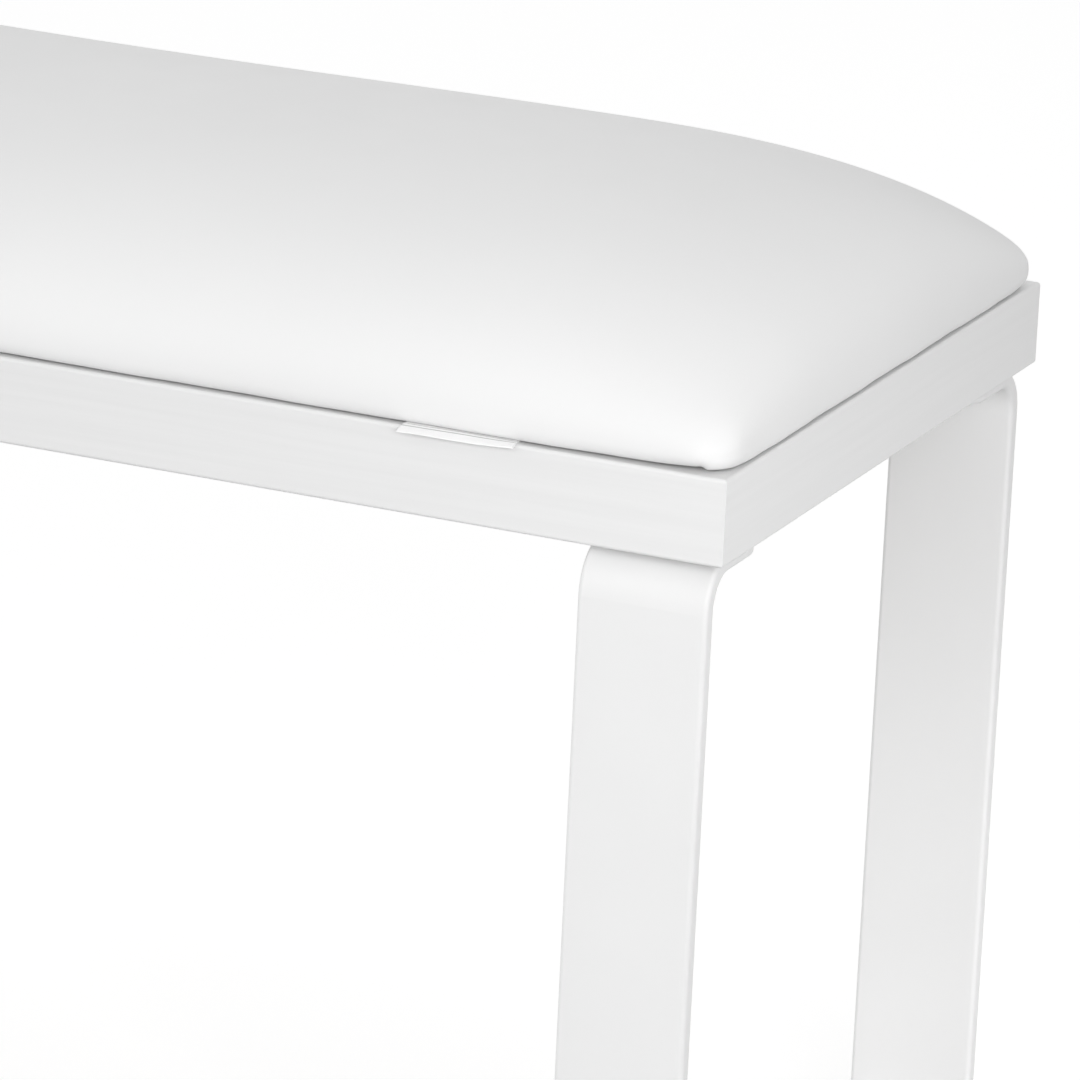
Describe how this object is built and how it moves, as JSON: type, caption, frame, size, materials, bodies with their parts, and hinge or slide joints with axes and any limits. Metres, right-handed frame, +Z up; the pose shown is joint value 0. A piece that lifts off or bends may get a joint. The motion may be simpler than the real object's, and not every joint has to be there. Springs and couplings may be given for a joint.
{
  "type": "piano bench",
  "caption": "Piano bench: crowned white faux-leather pad on a slim mitred lacquered frame, carried by bent flat-bar end frames with levelling glides.",
  "frame": {"origin": "on the floor under the middle of the seat", "axes": "+X along the bench to the sitter's right seen from the front, +Y to the rear, +Z up"},
  "size_m": [0.76, 0.36, 0.493],
  "materials": {
    "white_lacquer": "smooth satin white lacquer over wood",
    "white_powder_coat": "satin white powder coat with a very fine texture",
    "white_vinyl": "smooth matt white faux leather with a fine grain",
    "woven_tape": "soft woven tape",
    "plywood": "bare plywood",
    "raw_wood": "bare planed softwood",
    "beech_dowel": "bare beech with glue grooves",
    "seat_foam": "open-cell upholstery foam",
    "wadding": "soft polyester wadding",
    "black_nonwoven": "thin spunbonded cloth",
    "zinc_steel": "bright zinc plate",
    "staple_wire": "galvanised wire",
    "black_nylon": "moulded black nylon"
  },
  "bodies": {
    "bench": {"batten_dowels": "beech_dowel", "corner_dowels": "beech_dowel", "dust_cover": "black_nonwoven", "dust_cover_staples": "staple_wire", "flange_bolts": "zinc_steel", "flange_washers": "zinc_steel", "front_left_corner_block": "raw_wood", "front_rail": "white_lacquer", "front_right_corner_block": "raw_wood", "hem_staples": "staple_wire", "label_tag": "woven_tape", "left_cross_batten": "raw_wood", "left_end_rail": "white_lacquer", "left_leg_frame": "white_powder_coat", "rear_left_corner_block": "raw_wood", "rear_rail": "white_lacquer", "rear_right_corner_block": "raw_wood", "right_cross_batten": "raw_wood", "right_end_rail": "white_lacquer", "right_leg_frame": "white_powder_coat", "seat_board": "plywood", "seat_bolts": "zinc_steel", "seat_cover": "white_vinyl", "seat_foam": "seat_foam", "seat_wadding": "wadding", "seat_washers": "zinc_steel", "tee_nuts": "zinc_steel", "threaded_inserts": "zinc_steel"},
    "front_left_glide": {"front_left_glide_pad": "black_nylon", "front_left_glide_stem": "zinc_steel"},
    "front_right_glide": {"front_right_glide_pad": "black_nylon", "front_right_glide_stem": "zinc_steel"},
    "rear_left_glide": {"rear_left_glide_pad": "black_nylon", "rear_left_glide_stem": "zinc_steel"},
    "rear_right_glide": {"rear_right_glide_pad": "black_nylon", "rear_right_glide_stem": "zinc_steel"}
  },
  "joints": [
    {"name": "front_left_glide_level", "type": "slide", "parent": "bench", "child": "front_left_glide", "axis": [0, 0, -1], "range_m": [0, 0.004]},
    {"name": "front_right_glide_level", "type": "slide", "parent": "bench", "child": "front_right_glide", "axis": [0, 0, -1], "range_m": [0, 0.004]},
    {"name": "rear_left_glide_level", "type": "slide", "parent": "bench", "child": "rear_left_glide", "axis": [0, 0, -1], "range_m": [0, 0.004]},
    {"name": "rear_right_glide_level", "type": "slide", "parent": "bench", "child": "rear_right_glide", "axis": [0, 0, -1], "range_m": [0, 0.004]}
  ]
}
